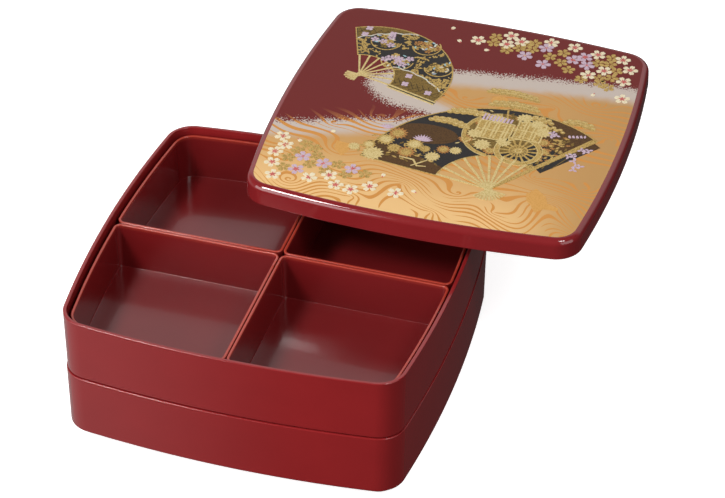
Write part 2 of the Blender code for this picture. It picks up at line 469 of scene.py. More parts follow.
def waterLines(x, y):
    # more than 0 on a line: the cosine of the flow less a limit that swells and thins the line along its way
    # and lifts it off the print between one bundle of lines and the next, except inside a curl
    current, winding, calm = waterFlow(x, y)
    swell = np.sin(x / 12 + 1 + y / 31) * np.sin(y / 9 - 0.4 + x / 37)
    bundle = np.cos(2 * math.pi * current / 4.6 + 0.6 * np.sin(x / 23))
    limit = 0.4 + calm * (0.04 - 0.45 * swell + 0.6 * smoothStep(0.0, -0.8, bundle))
    return np.cos(2 * math.pi * (current + winding)) - limit


def lidFrame():
    low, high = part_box("lid")
    return np.array([(low.x + high.x) / 2, (low.y + high.y) / 2, high.z]) / mm


def squareToLid(u, v):
    # a square from -1 to 1 stretched to the print's outline: place = direction * outline's reach * how far
    # out the point is in the square, so the square's edge becomes the edge of the print
    ring = ringsAlong(boxBarrel, np.array([[printPlan["inset"], 0.0]]))[0]
    ringAngle = np.arctan2(ring[:, 1], ring[:, 0])
    order = np.argsort(ringAngle)
    reach = np.hypot(ring[:, 0], ring[:, 1])[order]
    outer = np.interp(np.arctan2(v, u), ringAngle[order], reach, period=2 * math.pi)
    radius = np.maximum(np.hypot(u, v), 1e-9)
    scale = outer * np.maximum(np.abs(u), np.abs(v)) / radius
    return u * scale, v * scale


def makePrintQuarter(name, sideU, sideV):
    # a grid over one quarter of the lid, closed by a wall round its rim and a fan of triangles underneath
    cells = printPlan["cells"]
    spanU = np.linspace(min(sideU, 0), max(sideU, 0), cells + 1)
    spanV = np.linspace(min(sideV, 0), max(sideV, 0), cells + 1)
    x, y = squareToLid(*np.meshgrid(spanU, spanV, indexing="ij"))
    centre = lidFrame()
    top = centre[2] - lidShape["topStep"] + printPlan["sheet"]
    upper = np.stack([x + centre[0], y + centre[1], np.full_like(x, top)], axis=-1)
    index = np.arange(x.size).reshape(x.shape)
    rim = np.concatenate([index[:, 0], index[-1, 1:], index[-2::-1, -1], index[0, -2:0:-1]])
    lowRim = upper.reshape(-1, 3)[rim] - (0, 0, 2 * printPlan["sheet"])
    low = x.size + np.arange(len(rim))
    wall = np.stack([low, np.roll(low, -1), np.roll(rim, -1), rim], axis=-1)
    under = np.stack([np.roll(low, -1), low, np.full(len(rim), x.size + len(rim))], axis=-1)
    points = np.vstack([upper.reshape(-1, 3), lowRim, lowRim.mean(axis=0)]) * mm
    sheet = meshObject(name, points, gridQuads(index) + wall.tolist() + under.tolist())
    px, py = points[:, 0] / mm - centre[0], points[:, 1] / mm - centre[1]
    ground = edgeDistance(px, py, maroonEdge)
    water = smoothStep(14, 24, -ground)
    water = water + smoothStep(2, -8, py) * smoothStep(70, -30, px) * smoothStep(16, 2, ground)
    values = {
        "ground": ground, "waterLine": waterLines(px, py), "across": px, "back": py,
        "water": np.clip(water, 0, 1) * smoothStep(60, 48, py),
    }
    for key, value in values.items():
        attribute = sheet.data.attributes.new(key, "FLOAT", "POINT")
        attribute.data.foreach_set("value", value.astype(np.float32))
    return sheet


printLook = {
    "colours": {"maroon": "#6e1612", "mist": "#c8b9ae", "line": "#d08e42", "lineOnMaroon": "#94502a",
                "goldBack": "#c9995b", "goldFront": "#eabe80", "goldRight": "#bf9156"},
    "dropletMm": 1.0, "dropletReach": 18.0,     # droplets of spray, and how far they carry the maroon's edge
    "driftMm": 9.0, "driftReach": 5.0,          # drifts of mist, and how far they carry it
    "edge": (-1.0, 1.0), "gold": (-11.0, -23.0),    # mm from the maroon's edge: its blur, and mist to gold
    "front": (-40.0, -112.0), "right": (55.0, 118.0),   # mm from the lid's middle where the gold changes
    "lineEdge": (-0.02, 0.06), "roughness": 0.22, "ior": 1.28,
}


def mistAndWaterPrint():
    # screen-printed satin ink: pale mist sprayed loose over maroon ends in a grainy edge, the gold ground
    # grows paler to the front and deeper to the right, and the water is flat orange line work
    look = printLook
    material, tree, shader = newMaterial("screenPrintedMistAndWater")
    place = addNode(tree, "ShaderNodeTexCoord").outputs["Object"]
    read = {name: addNode(tree, "ShaderNodeAttribute", {"attribute_name": name}).outputs["Fac"]
            for name in ("ground", "waterLine", "water", "across", "back")}
    droplets = addNode(tree, "ShaderNodeTexNoise", Vector=place,
                       Scale=1 / (look["dropletMm"] * mm), Detail=0.0)
    drift = addNode(tree, "ShaderNodeTexNoise", Vector=place, Scale=1 / (look["driftMm"] * mm), Detail=2.0)
    # each noise moves the edge to and fro: reach * (noise - 1/2)
    grain = addNode(tree, "ShaderNodeMath", {"operation": "MULTIPLY_ADD"}, i0=droplets.outputs["Fac"],
                    i1=look["dropletReach"], i2=-look["dropletReach"] / 2)
    loose = addNode(tree, "ShaderNodeMath", {"operation": "MULTIPLY_ADD"}, i0=drift.outputs["Fac"],
                    i1=look["driftReach"], i2=-look["driftReach"] / 2)
    edge = addNode(tree, "ShaderNodeMath", {"operation": "ADD"}, i0=read["ground"], i1=loose.outputs[0])
    grainy = addNode(tree, "ShaderNodeMath", {"operation": "ADD"}, i0=edge.outputs[0], i1=grain.outputs[0])
    # share of each part, from 0 to 1 over its span
    share = {}
    for name, value in (("edge", grainy.outputs[0]), ("gold", edge.outputs[0]), ("front", read["back"]),
                        ("right", read["across"]), ("lineEdge", read["waterLine"])):
        span = look[name]
        share[name] = addNode(tree, "ShaderNodeMapRange", softRange, Value=value,
                              From_Min=span[0], From_Max=span[1]).outputs[0]
    shown = addNode(tree, "ShaderNodeMath", {"operation": "MULTIPLY"}, i0=share["lineEdge"], i1=read["water"])
    share["line"] = shown.outputs[0]
    # colours laid one over another: what is made, by whose share, what lies under and what lies over
    made = {name: hexToLinear(code) for name, code in look["colours"].items()}
    for name, part, under, over in (
            ("gold", "front", "goldBack", "goldFront"), ("gold", "right", "gold", "goldRight"),
            ("ground", "gold", "mist", "gold"), ("ground", "edge", "ground", "maroon"),
            ("ink", "edge", "line", "lineOnMaroon"), ("print", "line", "ground", "ink")):
        made[name] = addNode(tree, "ShaderNodeMix", colourMix, i0=share[part],
                             i6=made[under], i7=made[over]).outputs[2]
    feed(tree, shader, Base_Color=made["print"], Roughness=look["roughness"], IOR=look["ior"])
    return material


# flat shapes in coloured powder, gathered by colour into one mesh each: every shape is a closed plate
powders = {}
plateSteps = 24      # plates of one colour stand at so many slightly different heights, so none share a plane
plateRise = 0.006    # from each of those heights to the next, as a share of the plate's height


def powderStore(powder):
    return powders.setdefault(powder, {"points": [], "faces": [], "count": 0, "plates": 0})


def plateTop(store):
    # 1 for the first plate, and a little more for each of the next, over and over
    store["plates"] += 1
    return 1 + plateRise * (store["plates"] % plateSteps)


def addPlate(powder, outline):
    # a plate with the outline as its top and its underside, joined by a wall
    shape = np.asarray(outline, float)
    ahead = np.roll(shape, -1, axis=0)
    if np.sum(shape[:, 0] * ahead[:, 1] - ahead[:, 0] * shape[:, 1]) < 0:
        shape = shape[::-1]
    store, count = powderStore(powder), len(shape)
    first = store["count"]
    store["points"].append(np.column_stack([shape, np.full(count, plateTop(store))]))
    store["points"].append(np.column_stack([shape, np.zeros(count)]))
    top = np.arange(first, first + count)
    base = top + count
    wall = np.stack([base, np.roll(base, -1), np.roll(top, -1), top], axis=-1)
    store["faces"] += [top.tolist(), base[::-1].tolist()] + wall.tolist()
    store["count"] += 2 * count


def addRibbon(powder, path, width, closed=False):
    # a band along a path: each side is the path moved by half the width along its normal
    path = np.asarray(path, float)
    width = np.broadcast_to(np.asarray(width, float), (len(path),))[:, None]
    run = np.roll(path, -1, axis=0) - np.roll(path, 1, axis=0) if closed else np.gradient(path, axis=0)
    run = run / np.maximum(np.hypot(run[:, 0], run[:, 1]), 1e-9)[:, None]
    normal = np.column_stack([-run[:, 1], run[:, 0]])
    left, right = path + normal * width / 2, path - normal * width / 2
    store, count = powderStore(powder), len(path)
    first = store["count"]
    top = plateTop(store)
    for side, level in ((left, top), (right, top), (right, 0), (left, 0)):
        store["points"].append(np.column_stack([side, np.full(count, level)]))
    lines = first + np.arange(4 * count).reshape(4, count)
    last = np.roll(lines, -1, axis=1) if closed else lines[:, 1:]
    start = lines if closed else lines[:, :-1]
    around = [np.stack([start[k], start[(k + 1) % 4], last[(k + 1) % 4], last[k]], axis=-1) for k in range(4)]
    store["faces"] += np.concatenate(around).tolist()
    if not closed:
        store["faces"] += [lines[::-1, 0].tolist(), lines[:, -1].tolist()]
    store["count"] += 4 * count


def turned(shape, angle, centre):
    c, s = math.cos(angle), math.sin(angle)
    return np.asarray(shape, float) @ np.array([[c, s], [-s, c]]) + np.asarray(centre, float)


def stamp(powder, shape, angle, centre):
    addPlate(powder, turned(shape, angle, centre))


def ellipse(width, height, steps=14):
    t = np.linspace(0, 2 * math.pi, steps, endpoint=False)
    return np.column_stack([width / 2 * np.cos(t), height / 2 * np.sin(t)])


def arcPath(centre, radius, fromDeg, toDeg, steps=24):
    t = np.radians(np.linspace(fromDeg, toDeg, steps + 1))
    return np.column_stack([centre[0] + radius * np.cos(t), centre[1] + radius * np.sin(t)])


def fanSector(centre, inner, outer, fromDeg, toDeg, steps):
    outerEdge = arcPath(centre, outer, fromDeg, toDeg, steps)
    return np.vstack([outerEdge, arcPath(centre, inner, toDeg, fromDeg, steps)])


def crownedRadius(fan, degrees):
    # the leaf's outer edge: a radius that goes evenly from one end's to the other's, plus a crown of
    # crown * cos(angle), with an angle of a quarter turn either side of the middle
    share = (degrees - fan["fromDeg"]) / (fan["toDeg"] - fan["fromDeg"])
    even = fan["fromOuter"] + (fan["toOuter"] - fan["fromOuter"]) * share
    return even + fan["crown"] * np.cos(math.pi * (share - 0.5))


def at(centre, radius, degrees):
    return np.array([centre[0] + radius * math.cos(math.radians(degrees)),
                     centre[1] + radius * math.sin(math.radians(degrees))])


def radial(centre, inner, outer, degrees):
    # both ends of a stroke that points away from a centre
    return [at(centre, inner, degrees), at(centre, outer, degrees)]


# a petal and a leaf of length 1 along x
notchedPetal = np.array([(0.1, 0), (0.34, 0.2), (0.66, 0.33), (0.93, 0.24), (1.0, 0.1),
                         (0.9, 0), (1.0, -0.1), (0.93, -0.24), (0.66, -0.33), (0.34, -0.2)])
slimLeaf = np.array([(0, 0), (0.25, 0.16), (0.6, 0.2), (1, 0), (0.6, -0.2), (0.25, -0.16)])


def addHoop(powder, centre, radius, width, steps=48):
    addRibbon(powder, arcPath(centre, radius, 0, 360, steps)[:-1], width, closed=True)


def addSpray(powder, centre, size, count, fromDeg, stepDeg):
    # leaves of one size that fan out from one point
    for k in range(count):
        stamp(powder, slimLeaf * size, math.radians(fromDeg + stepDeg * k), centre)


def addBlossom(petal, heart, centre, radius, turn):
    # five notched petals, and with a heart a short stamen along each petal and a round in the middle
    for k in range(5):
        angle = turn + k * 2 * math.pi / 5
        stamp(petal, notchedPetal * radius, angle, centre)
        if heart:
            stamp(heart, slimLeaf * radius * 0.504, angle + 0.1, centre)
    if heart:
        stamp("paleGoldPowder", ellipse(radius * 0.24, radius * 0.24, 8), 0, centre)


def addDaisy(petal, heart, centre, radius, petals, turn):
    # many slim petals in two rings round a raised heart
    for ring, length in ((0, 1.0), (1, 0.68)):
        for k in range(petals):
            angle = turn + (k + 0.5 * ring) * 2 * math.pi / petals
            leaf = slimLeaf * radius * length * (1.0, 1.6 * 9 / petals)
            stamp(petal if ring == 0 else heart, leaf, angle, centre)
    stamp(petal, ellipse(radius * 0.4, radius * 0.4, 10), 0, centre)


def addPineCloud(centre, width, height, turn):
    # two rows of overlapping rounds, full in the middle and small at the ends, each with a spray of needles
    count = max(4, int(width / 4.2))
    for row, lift in ((0, 0.0), (1, 0.3)):
        for k in range(count - row):
            along = (k + 0.5 + 0.5 * row) / count - 0.5
            size = height * (0.62 - 0.9 * along * along) * (1 - 0.12 * row)
            spot = turned([(along * width, lift * height - 0.14 * height * abs(along) * 4)], turn, centre)[0]
            stamp("goldPowder", ellipse(size * 1.15, size, 12), turn, spot)
            for needle in range(5):
                tip = at(spot, 0.46 * size, math.degrees(turn) + 20 + 35 * needle)
                addRibbon("paleGoldPowder", [spot, tip], 0.32)
    branch = [(-0.42 * width, -0.34 * height), (0, -0.24 * height), (0.42 * width, -0.34 * height)]
    addRibbon("bronzePowder", turned(branch, turn, centre), 0.5)


def addFanBones(pivot, inner, count, fromDeg, toDeg, width, powder):
    # tapered sticks from the pivot to the paper, and a rivet over their ends
    for k in range(count):
        degrees = fromDeg + (toDeg - fromDeg) * k / (count - 1)
        addRibbon(powder, radial(pivot, 1.0, inner + 0.6, degrees), [width * 0.75, width])
    stamp(powder, ellipse(width * 3, width * 3, 12), 0, pivot)


smallFan = {
    "pivot": (-75.5, 30), "fromDeg": -16, "toDeg": 109,
    "inner": 24, "fromOuter": 61, "toOuter": 58.5, "crown": 6,
    "medallions": [(-69, 75, 11.5), (-40, 76, 10.5), (-55, 54, 12), (-25, 53, 10.5)],
}


def makeSmallFan(dice):
    s = smallFan
    pivot, fromDeg, toDeg = s["pivot"], s["fromDeg"], s["toDeg"]

    def outerPath(startDeg, endDeg, inward=0.0):
        degrees = np.linspace(startDeg, endDeg, 41)
        radius = crownedRadius(s, degrees) - inward
        return np.column_stack([pivot[0] + radius * np.cos(np.radians(degrees)),
                                pivot[1] + radius * np.sin(np.radians(degrees))])

    addPlate("blackLeaf", np.vstack([outerPath(fromDeg, toDeg), arcPath(pivot, s["inner"], toDeg, fromDeg)]))
    # bronze cloth at both ends of the leaf, with a wavy pearl edge and a gold lattice
    sweep = np.linspace(0, 1, 30)
    ripple = 1.5 * np.abs(np.sin(sweep * 12))
    for start, end, near, far in ((38, -4, 25, 58), (108, 66, 45, 63)):
        waveDeg = start + (end - start) * sweep
        waveR = near + (far - near) * sweep ** 1.3 + ripple
        wave = np.array([at(pivot, r, d) for r, d in zip(waveR, waveDeg)])
        if near < 30:
            side = fromDeg + 1
            ground = [wave, outerPath(end, side, 0.6), arcPath(pivot, s["inner"] + 0.6, side, start)]
        else:
            ground = [wave, outerPath(end, start, 0.6)]
        addPlate("bronzePowder", np.vstack(ground))
        addRibbon("pearlPowder", wave, 1.0)
    for slope, places in ((38, [(-52 + 4.6 * k, 25 - 1.15 * k) for k in range(8)]),
                          (-62, [(-53 + 4.6 * k, 35 - 1.15 * k) for k in range(7)]),
                          (52, [(-93 + 5.4 * k, 78 + 0.5 * k) for k in range(8)]),
                          (-52, [(-93 + 5.4 * k, 87.5 - 0.1 * k) for k in range(8)])):
        for place in places:
            addRibbon("latticeInk", [place, at(place, 9.5, slope)], 0.5)
    for spot in ((-85, 87), (-67, 85), (-86, 79), (-42, 38), (-42, 28), (-24, 22)):
        for k in range(4):
            stamp("lilacPowder", ellipse(3.4, 2.6, 8), k * math.pi / 2 + 0.78, at(spot, 1.3, 45 + 90 * k))
    # medallions: blossoms in three powders and a few leaves, in a ring of bare black leaf
    families = (("goldPowder", "lilacPowder", "bronzePowder"), ("copperPowder", "goldPowder", "copperPowder"),
                ("lilacPowder", "goldPowder", "lilacPowder"), ("goldPowder", "bronzePowder", "goldPowder"))
    for index, (x, y, radius) in enumerate(s["medallions"]):
        addRibbon("goldPowder", arcPath((x, y), radius * 0.94, 190, 360 + 40 * (index % 2), 40), 0.9)
        for k in range(11):
            spot = at((x, y), radius * (0.2, 0.5, 0.74)[k % 3], 67.5 * k + 25 * index)
            addBlossom(families[index][(k + k // 3) % 3], None, spot, radius * 0.27, 0.7 * k)
        for k in range(12):
            spot = at((x, y), radius * (0.35 + 0.5 * dice.random()), 360 * dice.random())
            powder = ("turquoisePowder", "pearlPowder", "goldPowder")[k % 3]
            stamp(powder, slimLeaf * 3.4, 6.3 * dice.random(), spot)
    # arabesque: small leaves wherever the black leaf is clear of its edge, the medallions and the cloth
    for _ in range(2400):
        degrees = fromDeg + 2 + (toDeg - fromDeg - 4) * dice.random()
        radius = 25.5 + 38 * dice.random() ** 0.6
        spot, angle, size = at(pivot, radius, degrees), 6.3 * dice.random(), 1.7 + 1.1 * dice.random()
        gaps = [math.hypot(spot[0] - x, spot[1] - y) - r for x, y, r in s["medallions"]]
        clear = radius < crownedRadius(s, degrees) - 2.0 and min(gaps) > 2.6
        share = (38 - degrees) / 42
        cloth = degrees < 38 and radius < 25 + 33 * min(share, 1) ** 1.3 + 1.5
        back = degrees > 66 and radius > 45 + 18 * ((108 - degrees) / 42) ** 1.3
        if clear and not cloth and not back:
            stamp("goldPowder", slimLeaf * (size, size * 1.3), angle, spot)
    addRibbon("goldPowder", arcPath(pivot, s["inner"] + 0.3, fromDeg, toDeg), 0.9)
    addRibbon("goldPowder", outerPath(fromDeg, toDeg, 0.3), 0.9)
    for degrees in (fromDeg, toDeg):
        addRibbon("goldPowder", radial(pivot, s["inner"], crownedRadius(s, degrees), degrees), 0.9)
    guardDeg = fromDeg - 1.5
    guard = np.array(radial(pivot, s["inner"], s["fromOuter"] + 1, guardDeg))
    for shift in (-1.3, 0, 1.3):
        powder, width = ("paleGoldPowder", 1.3) if shift else ("blackLeaf", 1.4)
        addRibbon(powder, guard + np.array([0.3, 0.95]) * shift, width)
    addFanBones(pivot, s["inner"], 8, fromDeg + 1, toDeg - 3, 1.5, "paleGoldPowder")
    for k in range(7):
        addRibbon("paleGoldPowder", [pivot, at(pivot, 10.5 - 0.6 * abs(k - 2), 172 + 14 * k)], [0.9, 1.6])


largeFan = {
    "pivot": (44, -72), "inner": 37, "outer": 92, "fromDeg": 54, "toDeg": 173,
    "wheel": (52, -25), "wheelRadius": 14.5,
    # place and size of each daisy in the bank over the wheel
    "bankDaisies": [(27, -25, 7.5), (19, -14, 6.5), (42, -2, 6), (40, -18, 6.5), (63, 0, 7), (30, 6, 7),
                    (15, -22, 6), (47, 12, 7), (20, 0, 6), (57, 8, 6.5), (68, -21, 6), (34, -30, 6),
                    (66, -11, 6)],
    # middle, width, height and tilt of each cloud of pine
    "pines": [((33, 38), 38, 9, -0.05), ((37, 25), 36, 10, 0.02), ((84, 17), 24, 9, -0.1),
              ((0, -6), 30, 9, -0.12), ((10, 8.5), 32, 9, 0.05), ((56, 14), 24, 8, -0.05),
              ((68, 6), 20, 6, -0.1)],
    # place, size, petals and heart of each daisy at the left end
    "endDaisies": [(-30, -29, 7, "copper", "gold"), (-36, -38, 6.5, "gold", "paleGold"),
                   (-16, -38, 6.5, "gold", "paleGold"), (-40, -56, 8, "paleGold", "gold"),
                   (-19, -48, 6.5, "copper", "gold"), (-28, -46, 5, "gold", "bronze"),
                   (-1, -48, 5.5, "paleGold", "copper"), (-45, -47, 5, "gold", "paleGold"),
                   (4, -38, 5, "copper", "gold"), (12, -37, 4.5, "paleGold", "bronze"),
                   (-8, -41, 4, "gold", "copper"), (-54, -52, 4.5, "paleGold", "gold")],
    "berries": [(69, 1.5), (72, -0.5), (68.5, -2), (95, -13), (97, -11), (92, -12), (87.5, -19), (89, -21),
                (85.5, -21.5), (90, -25.5), (92.5, -31), (95.5, -30), (92, -35)],
}


def makeLargeFan(dice):
    s = largeFan
    pivot = s["pivot"]
    addPlate("blackLeaf", fanSector(pivot, s["inner"], s["outer"], s["fromDeg"], s["toDeg"], 60))
    # bronze banks across the black leaf
    addPlate("bronzeLeaf", fanSector(pivot, 62, s["outer"] - 0.6, s["fromDeg"], 76, 16))
    addPlate("bronzeLeaf", fanSector(pivot, s["inner"] + 0.6, s["outer"] - 0.6, 158, s["toDeg"], 16))
    stamp("bronzeLeaf", ellipse(44, 22, 40), 0.05, (-12, -24))
    for radius in (s["inner"] + 0.4, s["outer"] - 0.3):
        addRibbon("goldPowder", arcPath(pivot, radius, s["fromDeg"], s["toDeg"], 60), 0.9)
    addRibbon("goldPowder", radial(pivot, s["inner"], s["outer"], s["toDeg"]), 0.9)
    # right-hand guard and the black strip of leaf folded behind it
    addPlate("blackLeaf", [(72, -45), (68, -41), (99, -2), (103.5, -5.5)])
    addPlate("bronzeLeaf", [(91.5, -18.5), (87.5, -15.5), (99, -2), (103.5, -5.5)])
    guard = np.array([at(pivot, 2, s["fromDeg"]), at(pivot, s["outer"], s["fromDeg"] - 0.6)])
    addRibbon("goldPowder", guard, [2.4, 4.4])
    # plain spoked wheel under a bank of flowers
    wheel, radius = s["wheel"], s["wheelRadius"]
    addHoop("goldPowder", wheel, radius, 3.0)
    addHoop("goldPowder", wheel, radius * 0.42, 1.2)
    addHoop("paleGoldPowder", wheel, radius + 1.7, 0.5)
    addHoop("paleGoldPowder", wheel, radius - 1.7, 0.5)
    for k in range(16):
        addRibbon("goldPowder", radial(wheel, radius * 0.2, radius, 22.5 * k + 6), [1.0, 1.7])
    stamp("goldPowder", ellipse(6.5, 6.5, 18), 0, wheel)
    addHoop("paleGoldPowder", wheel, 2.1, 0.5, 20)
    stamp("bronzePowder", ellipse(50, 46, 40), 0.3, (36, -9))
    for left, right, low, high in ((19, 41, -17, 3), (45, 62, -12, 9)):
        addPlate("goldPowder", [(left, low), (right, low), (right + 0.8, high), (left + 0.8, high)])
        staves = int((right - left) / 2.3)
        for k in range(staves):
            x = left + 1.6 + 2.3 * k
            powder = "paleGoldPowder" if k % 3 else "copperPowder"
            addRibbon(powder, [(x, low + 1.2), (x + 0.7, high - 1)], 1.2)
        for height in (low, (low + high) / 2, high):
            addRibbon("paleGoldPowder", [(left - 1, height), (right + 1.6, height)], 1.0)
        for x in (left - 0.6, right + 1):
            addRibbon("paleGoldPowder", [(x, low), (x + 0.6, high)], 1.2)
    addRibbon("goldPowder", arcPath((36, -12), 24, 100, 262, 40), 2.6)
    addRibbon("paleGoldPowder", arcPath((36, -12), 25.6, 100, 262, 40), 0.5)
    for x, y, size in s["bankDaisies"]:
        petal = "paleGoldPowder" if size > 6.2 else "copperPowder"
        addDaisy(petal, "goldPowder", (x, y), size * 0.85, 12, 0.2 * x)
    for k in range(110):
        spot = np.array([12 + 54 * dice.random(), -36 + 50 * dice.random()])
        if math.hypot(*(spot - np.array(wheel))) > radius + 2:
            powder = ("copperPowder", "bronzePowder", "paleGoldPowder", "blackLeaf")[k % 4]
            stamp(powder, slimLeaf * (3.4, 3.0), 6.3 * dice.random(), spot)
    for k in range(9):
        x = 20 + 2.4 * k
        addRibbon("lilacPowder", [(x, 3.4 + 0.3 * (k % 3)), (x + 0.5, 11 - 0.3 * k)], [1.6, 1.2])
    # pines: clouds of needles over the leaf and above its edge
    for middle, width, height, tilt in s["pines"]:
        addPineCloud(middle, width, height, tilt)
    addRibbon("goldPowder", [(30, -6), (36, 8), (34, 18), (42, 30)], [2.2, 1.8, 1.4, 0.8])
    # daisies, leaves and lilac sprays at the left end of the leaf
    for x, y, size, petal, heart in s["endDaisies"]:
        addDaisy(petal + "Powder", heart + "Powder", (x, y), size, 14, 0.3 * x)
    for k in range(46):
        spot = (-52 + 58 * dice.random(), -58 + 22 * dice.random())
        powder = "goldPowder" if k % 2 else "bronzePowder"
        stamp(powder, slimLeaf * (4.2, 3.6), 6.3 * dice.random(), spot)
    addSpray("lilacPowder", (-12.5, -33), (7.5, 4), 9, 20, 17.5)
    addSpray("lilacPowder", (-39, -26), (6, 3.4), 7, 35, 20)
    addRibbon("paleGoldPowder", [(-22, -54), (-12, -55), (-8, -61), (-2, -60)], [1.0, 1.6, 1.4, 0.8])
    addRibbon("paleGoldPowder", [(-12, -62), (-6, -56), (-3, -53)], [0.8, 1.2, 0.8])
    # autumn sprigs at the right end
    for k in range(70):
        along, off = dice.random(), dice.random() - 0.5
        spot = np.array([66 + 16 * along + 14 * off, -42 + 42 * along + 8 * off * (1 - along)])
        angle = math.radians(60 + 120 * (k % 2) + 40 * off)
        powder = ("goldPowder", "copperPowder", "bronzePowder", "goldPowder")[k % 4]
        stamp(powder, slimLeaf * (3.6, 4.4), angle, spot)
    for start, end in (((72, -40), (80, -2)), ((68, -36), (70, -4)), ((78, -38), (92, -10))):
        addRibbon("bronzePowder", [start, end], [0.6, 0.4])
    for k in range(9):
        spot = (81 + 1.25 * k, -1 + 0.35 * k)
        stamp("lilacPowder", slimLeaf * (3.6, 4), math.radians(95 + 40 * (k % 2)), spot)
    for x, y in s["berries"]:
        for k in range(3):
            stamp("lilacPowder", slimLeaf * (3.2, 4.4), 2.1 * k + 0.2 * x, (x, y))
    addFanBones(pivot, s["inner"], 9, s["fromDeg"] + 9, s["toDeg"] - 2, 1.9, "paleGoldPowder")
    for k in range(11):
        addRibbon("paleGoldPowder", [pivot, at(pivot, 12.5, 233 + 11.2 * k)], [0.9, 1.5])


blossomPlaces = {
    "gold": [(3, 102.5), (3, 95), (14, 89), (22, 94), (31, 103), (31, 95), (45, 90), (53, 97), (54, 85),
        (61, 78), (72, 69.5), (79, 92), (87, 93), (93, 86), (84, 74), (92, 77), (92, 65), (87, 101),
        (86, 68), (26, 99), (-78, -62), (-85, -59), (-92, -77), (-76, -80), (-92, -88), (-58, -75),
        (-50, -84), (-38, -80), (-74, -70), (-88, -68), (-64, -84)],
    "cream": [(-8, 95), (13, 107), (21.5, 102), (12.5, 96), (42, 107), (59, 106), (76.5, 102), (94.5, 100.5),
        (85, 84), (75.5, 76), (102, 90), (101, 75), (104.5, 54.5), (-103, -55), (-98, -64), (-102.5, -73),
        (-100.5, -85), (-96, -98), (-72, -94), (-60, -88), (-53, -97), (-42, -99), (-31, -92), (-13, -94)],
    "lilac": [(28, 86), (40, 99.5), (42.5, 79.5), (68.5, 96.5), (61.5, 91), (72, 87), (-83, -73),
        (-67.5, -76.5), (-83, -88), (-47.5, -77)],
    "petal": [(-29, 104), (-20, 90), (1.3, 85), (84.5, 54), (-91, -56), (-73, -40), (-26, -78), (-1.5, -89)],
}


def scatterBlossoms():
    turn = 0.3
    for group in ("gold", "lilac", "cream"):
        heart, radius = (None, 4.9) if group == "gold" else ("rosePowder", 5.6)
        for place in blossomPlaces[group]:
            turn += 0.77
            addBlossom(group + "Powder", heart, place, radius, turn)
    for place in blossomPlaces["petal"]:
        turn += 1.1
        petal = (notchedPetal - (0.5, 0)) * 4.6
        stamp("creamPowder", petal, turn, place)
        stamp("rosePowder", slimLeaf * 2.0 - (2.2, 0), turn, place)


# chips of thin leaf laid under the water lines
def scatterChips():
    stamp("orangeLeaf", ellipse(12, 11, 22), 0, (25.5, 28))
    stamp("orangeLeaf", [(-5, -1), (-1, 3), (6, 2), (8, 0), (1, 1)], 0, (26, 39.5))
    addPlate("orangeLeaf", [(-67, -49), (-57, -50), (-56, -58), (-59, -65), (-66, -58)])
    addPlate("orangeLeaf", [(69, -70), (74, -62), (82, -69), (85, -76), (93, -79),
                            (93, -82), (84, -82.5), (79, -88), (75, -81), (71, -77)])


# each powder: colour, colour of its flecks, height over the print (mm), metallic share and roughness
powderLook = {
    "orangeLeaf": ("#d9a257", "#cf9648", 0.045, 0.1, 0.35),
    "blackLeaf": ("#26211f", "#191616", 0.06, 0.0, 0.3),
    "bronzeLeaf": ("#5f4222", "#4a3118", 0.08, 0.25, 0.45),
    "latticeInk": ("#3f2f17", "#4a3719", 0.126, 0.2, 0.45),
    "bronzePowder": ("#8b6f35", "#5f4a22", 0.12, 0.3, 0.45),
    "copperPowder": ("#c08a4c", "#94602c", 0.13, 0.3, 0.42),
    "goldPowder": ("#cfae66", "#9c7a3a", 0.15, 0.35, 0.4),
    "paleGoldPowder": ("#e2cc90", "#c6a862", 0.175, 0.35, 0.38),
    "turquoisePowder": ("#8fc6c4", "#b7a6d2", 0.18, 0.1, 0.3),
    "pearlPowder": ("#cdd8c8", "#d9b2a6", 0.17, 0.1, 0.3),
    "lilacPowder": ("#cfb6c4", "#b99eb0", 0.19, 0.05, 0.35),
    "creamPowder": ("#efe3c4", "#e2cfa6", 0.17, 0.05, 0.35),
    "rosePowder": ("#c4524f", "#d9807a", 0.19, 0.0, 0.35),
}


powderGrain = {"fleckMm": 0.9, "grainMm": 0.7, "ior": 1.3}


def sprinkledPowder(name, look):
    # metal or pearl powder sprinkled on wet lacquer and sealed: grainy, slightly raised, with flecks
    colour, fleck, _, metallic, roughness = look
    material, tree, shader = newMaterial(name)
    place = addNode(tree, "ShaderNodeTexCoord").outputs["Object"]
    flecks = addNode(tree, "ShaderNodeTexNoise", Vector=place, Scale=1 / (powderGrain["fleckMm"] * mm),
                     Detail=2.0, Roughness=0.65)
    part = addNode(tree, "ShaderNodeMapRange", Value=flecks.outputs["Fac"], From_Min=0.46, From_Max=0.64)
    tint = addNode(tree, "ShaderNodeMix", colourMix, i0=part.outputs[0],
                   i6=hexToLinear(colour), i7=hexToLinear(fleck))
    grain = addNode(tree, "ShaderNodeTexNoise", Vector=place,
                    Scale=1 / (powderGrain["grainMm"] * mm), Detail=1.0)
    bump = addNode(tree, "ShaderNodeBump", Strength=0.35, Distance=0.15 * mm, Height=grain.outputs["Fac"])
    feed(tree, shader, Base_Color=tint.outputs[2], Normal=bump.outputs["Normal"], Metallic=metallic,
         Roughness=roughness, IOR=powderGrain["ior"])
    return material


def finishPrint(piece, material):
    piece.data.materials.append(material)
    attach(piece, "lid")


